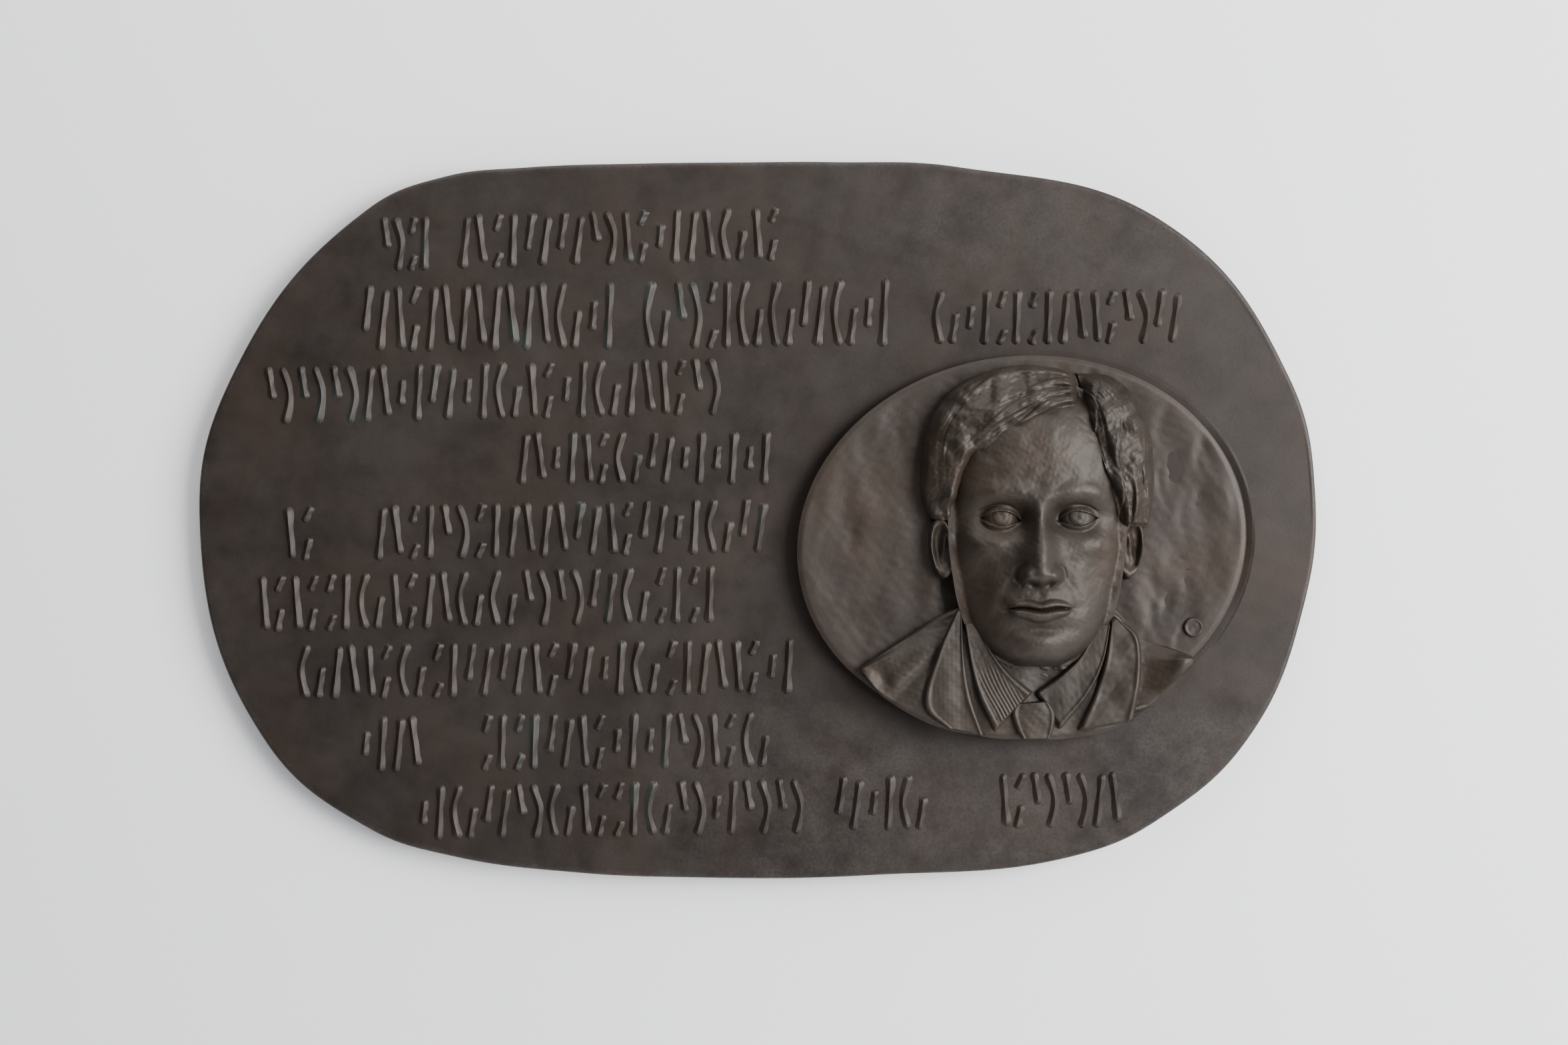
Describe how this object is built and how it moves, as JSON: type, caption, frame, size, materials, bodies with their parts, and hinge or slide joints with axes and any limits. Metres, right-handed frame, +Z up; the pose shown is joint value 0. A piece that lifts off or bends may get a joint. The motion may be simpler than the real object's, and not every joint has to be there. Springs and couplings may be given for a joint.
{
  "type": "commemorative wall plaque",
  "caption": "Oval cast bronze wall plaque with a tilted oval medallion holding a bust in relief, and rows of raised strokes in place of an inscription.",
  "frame": {"origin": "middle of the flat back, where it lies against the wall", "axes": "+Y into the wall, so the relief faces -Y; +X to the viewer's right along the width; +Z up"},
  "size_m": [0.9008, 0.0882, 0.5779],
  "materials": {
    "bronze": "cast bronze with a dark brown patina, satin, rubbed paler on the high edges, with rust-brown and a little green in the hollows"
  },
  "bodies": {
    "root": {"plaque": "bronze"}
  },
  "joints": []
}
